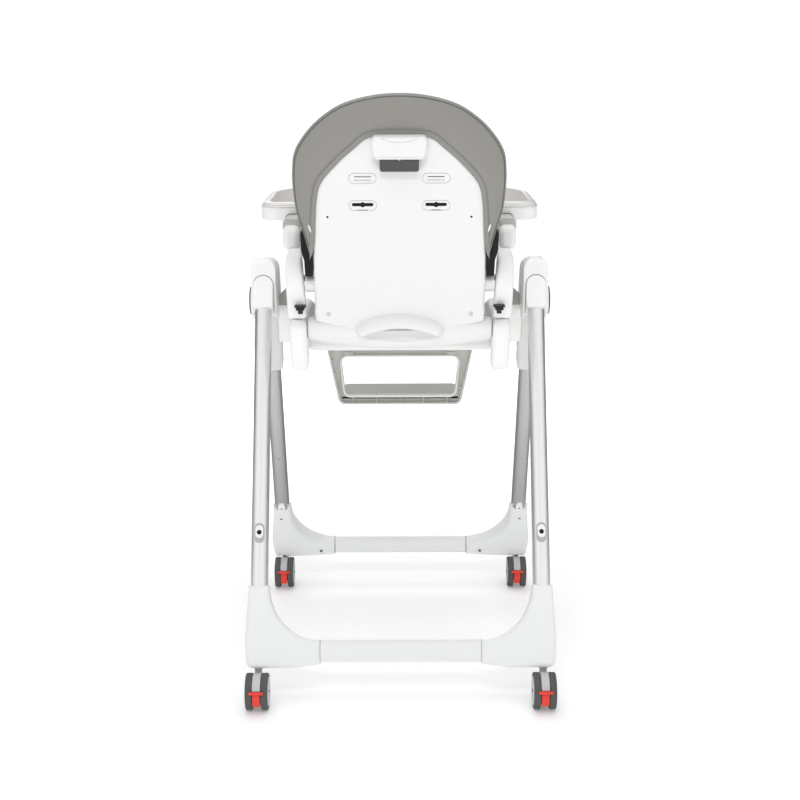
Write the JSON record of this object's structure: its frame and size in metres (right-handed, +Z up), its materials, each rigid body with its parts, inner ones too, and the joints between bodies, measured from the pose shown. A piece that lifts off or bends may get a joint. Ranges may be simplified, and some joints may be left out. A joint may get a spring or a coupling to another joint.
{
  "type": "baby high chair",
  "caption": "Folding baby high chair on braked casters, with a seat that slides on the legs, reclining backrest, leg rest, footrest and sliding tray with a lift-off insert",
  "frame": {"origin": "on the floor, in the middle of the chair's footprint", "axes": "+Z up, -Y the way the seated child looks, +X the child's left"},
  "size_m": [0.5792, 0.7266, 1.0891],
  "materials": {
    "leg_tube": "satin anodised aluminium tube",
    "foot_plastic": "fine matte moulded plastic, very light grey",
    "crossbar_paint": "white-grey powder coat, low gloss",
    "leg_plate": "satin light grey moulding",
    "white_plastic": "white moulded plastic, satin",
    "shell_plastic": "white moulded plastic, soft gloss",
    "steel": "bright zinc-plated steel",
    "dark_plastic": "dark grey moulded plastic",
    "black_trim": "black plastic and webbing",
    "caster_body": "silver-grey moulded plastic",
    "wheel": "dark grey soft tread",
    "brake_red": "red moulded plastic",
    "grey_plastic": "warm light grey moulded plastic",
    "seat_fabric": "padded wipe-clean cover, grey",
    "cover_fabric": "wipe-clean grey cover with piping and a stitched hem",
    "tray_clear": "white moulded plastic, glossy"
  },
  "bodies": {
    "front_frame": {"front_leg_left": "leg_tube", "front_leg_right": "leg_tube", "front_foot_left": "foot_plastic", "front_foot_right": "foot_plastic", "front_crossbar": "crossbar_paint", "hinge_housing_left": "white_plastic", "hinge_housing_right": "white_plastic", "hinge_pin_left": "steel", "hinge_pin_right": "steel"},
    "rear_frame": {"rear_leg_left": "leg_tube", "rear_leg_right": "leg_tube", "rear_foot_left": "foot_plastic", "rear_foot_right": "foot_plastic", "rear_crossbar": "crossbar_paint", "rear_leg_plate_left": "leg_plate", "rear_leg_plate_right": "leg_plate", "hinge_knuckle_left": "white_plastic", "hinge_knuckle_right": "white_plastic"},
    "fold_button_left": {"fold_button_left": "dark_plastic"},
    "fold_button_right": {"fold_button_right": "dark_plastic"},
    "caster_front_left": {"caster_body_front_left": "caster_body"},
    "wheels_front_left": {"caster_wheels_front_left": "wheel"},
    "brake_front_left": {"brake_lever_front_left": "brake_red"},
    "caster_front_right": {"caster_body_front_right": "caster_body"},
    "wheels_front_right": {"caster_wheels_front_right": "wheel"},
    "brake_front_right": {"brake_lever_front_right": "brake_red"},
    "caster_rear_left": {"caster_body_rear_left": "caster_body"},
    "wheels_rear_left": {"caster_wheels_rear_left": "wheel"},
    "brake_rear_left": {"brake_lever_rear_left": "brake_red"},
    "caster_rear_right": {"caster_body_rear_right": "caster_body"},
    "wheels_rear_right": {"caster_wheels_rear_right": "wheel"},
    "brake_rear_right": {"brake_lever_rear_right": "brake_red"},
    "seat": {"height_carriage_left": "white_plastic", "height_carriage_right": "white_plastic", "seat_shell": "white_plastic", "side_rail_left": "white_plastic", "side_rail_right": "white_plastic", "arm_panel_left": "white_plastic", "arm_panel_right": "white_plastic", "armrest_left": "white_plastic", "armrest_right": "white_plastic", "seat_cushion": "seat_fabric", "crotch_buckle": "black_trim", "recline_axle": "steel", "legrest_rod": "steel"},
    "height_button_left": {"height_button_left": "grey_plastic"},
    "height_button_right": {"height_button_right": "grey_plastic"},
    "backrest": {"back_shell": "shell_plastic", "lever_housing": "shell_plastic", "back_cushion": "seat_fabric", "cover_hood": "cover_fabric"},
    "recline_lever": {"recline_lever": "dark_plastic"},
    "lock_pin_left": {"lock_pin_left": "steel"},
    "lock_pin_right": {"lock_pin_right": "steel"},
    "legrest": {"legrest": "grey_plastic"},
    "footrest": {"footrest": "grey_plastic"},
    "tray": {"tray_base": "white_plastic"},
    "tray_insert": {"tray_insert": "tray_clear"},
    "tray_release": {"tray_release": "grey_plastic"}
  },
  "joints": [
    {"name": "frame_fold", "type": "hinge", "parent": "front_frame", "child": "rear_frame", "pos_m": [0, -0.022, 0.692], "axis": [-1, 0, 0], "range_deg": [0, 40]},
    {"name": "fold_button_press_left", "type": "slide", "parent": "front_frame", "child": "fold_button_left", "axis": [-1, 0, 0], "range_m": [0, 0.003], "stiffness_N_per_m": 600, "springref_m": -0.004},
    {"name": "fold_button_press_right", "type": "slide", "parent": "front_frame", "child": "fold_button_right", "axis": [1, 0, 0], "range_m": [0, 0.003], "stiffness_N_per_m": 600, "springref_m": -0.004},
    {"name": "caster_swivel_front_left", "type": "hinge", "parent": "front_frame", "child": "caster_front_left", "pos_m": [0.259, -0.34131, 0.073], "axis": [0, 0, 1], "continuous": true},
    {"name": "wheel_spin_front_left", "type": "hinge", "parent": "caster_front_left", "child": "wheels_front_left", "pos_m": [0.259, -0.31431, 0.033], "axis": [1, 0, 0], "continuous": true},
    {"name": "brake_press_front_left", "type": "hinge", "parent": "caster_front_left", "child": "brake_front_left", "pos_m": [0.259, -0.31431, 0.033], "axis": [-1, 0, 0], "range_deg": [0, 12]},
    {"name": "caster_swivel_front_right", "type": "hinge", "parent": "front_frame", "child": "caster_front_right", "pos_m": [-0.259, -0.34131, 0.073], "axis": [0, 0, 1], "continuous": true},
    {"name": "wheel_spin_front_right", "type": "hinge", "parent": "caster_front_right", "child": "wheels_front_right", "pos_m": [-0.259, -0.31431, 0.033], "axis": [1, 0, 0], "continuous": true},
    {"name": "brake_press_front_right", "type": "hinge", "parent": "caster_front_right", "child": "brake_front_right", "pos_m": [-0.259, -0.31431, 0.033], "axis": [-1, 0, 0], "range_deg": [0, 12]},
    {"name": "caster_swivel_rear_left", "type": "hinge", "parent": "rear_frame", "child": "caster_rear_left", "pos_m": [0.259, 0.29731, 0.073], "axis": [0, 0, 1], "continuous": true},
    {"name": "wheel_spin_rear_left", "type": "hinge", "parent": "caster_rear_left", "child": "wheels_rear_left", "pos_m": [0.259, 0.32431, 0.033], "axis": [1, 0, 0], "continuous": true},
    {"name": "brake_press_rear_left", "type": "hinge", "parent": "caster_rear_left", "child": "brake_rear_left", "pos_m": [0.259, 0.32431, 0.033], "axis": [-1, 0, 0], "range_deg": [0, 12]},
    {"name": "caster_swivel_rear_right", "type": "hinge", "parent": "rear_frame", "child": "caster_rear_right", "pos_m": [-0.259, 0.29731, 0.073], "axis": [0, 0, 1], "continuous": true},
    {"name": "wheel_spin_rear_right", "type": "hinge", "parent": "caster_rear_right", "child": "wheels_rear_right", "pos_m": [-0.259, 0.32431, 0.033], "axis": [1, 0, 0], "continuous": true},
    {"name": "brake_press_rear_right", "type": "hinge", "parent": "caster_rear_right", "child": "brake_rear_right", "pos_m": [-0.259, 0.32431, 0.033], "axis": [-1, 0, 0], "range_deg": [0, 12]},
    {"name": "seat_height", "type": "slide", "parent": "front_frame", "child": "seat", "axis": [0, -0.3987, -0.9171], "range_m": [0, 0.25]},
    {"name": "height_button_press_left", "type": "slide", "parent": "seat", "child": "height_button_left", "axis": [-1, 0, 0], "range_m": [0, 0.003], "stiffness_N_per_m": 600, "springref_m": -0.004},
    {"name": "height_button_press_right", "type": "slide", "parent": "seat", "child": "height_button_right", "axis": [1, 0, 0], "range_m": [0, 0.003], "stiffness_N_per_m": 600, "springref_m": -0.004},
    {"name": "backrest_recline", "type": "hinge", "parent": "seat", "child": "backrest", "pos_m": [0, 0.133, 0.664], "axis": [-1, 0, 0], "range_deg": [0, 36]},
    {"name": "recline_lever_pull", "type": "slide", "parent": "backrest", "child": "recline_lever", "axis": [0, 0.2079, 0.9781], "range_m": [0, 0.01], "stiffness_N_per_m": 400, "springref_m": -0.008},
    {"name": "lock_pin_pull_left", "type": "slide", "parent": "backrest", "child": "lock_pin_left", "axis": [-1, 0, 0], "range_m": [0, 0.009]},
    {"name": "lock_pin_pull_right", "type": "slide", "parent": "backrest", "child": "lock_pin_right", "axis": [1, 0, 0], "range_m": [0, 0.009]},
    {"name": "legrest_tilt", "type": "hinge", "parent": "seat", "child": "legrest", "pos_m": [0, -0.222, 0.618], "axis": [-1, 0, 0], "range_deg": [0, 75]},
    {"name": "footrest_slide", "type": "slide", "parent": "legrest", "child": "footrest", "axis": [0, 0, -1], "range_m": [0, 0.03]},
    {"name": "tray_slide", "type": "slide", "parent": "seat", "child": "tray", "axis": [0, -1, 0], "range_m": [0, 0.09]},
    {"name": "tray_insert_lift", "type": "slide", "parent": "tray", "child": "tray_insert", "axis": [0, 0, 1], "range_m": [0, 0.1]},
    {"name": "tray_release_pull", "type": "slide", "parent": "tray", "child": "tray_release", "axis": [0, -1, 0], "range_m": [0, 0.006], "stiffness_N_per_m": 400, "springref_m": -0.004}
  ],
  "couplings": [
    {"joint": "lock_pin_pull_left", "follows": "recline_lever_pull", "ratio": 0.9},
    {"joint": "lock_pin_pull_right", "follows": "recline_lever_pull", "ratio": 0.9}
  ]
}
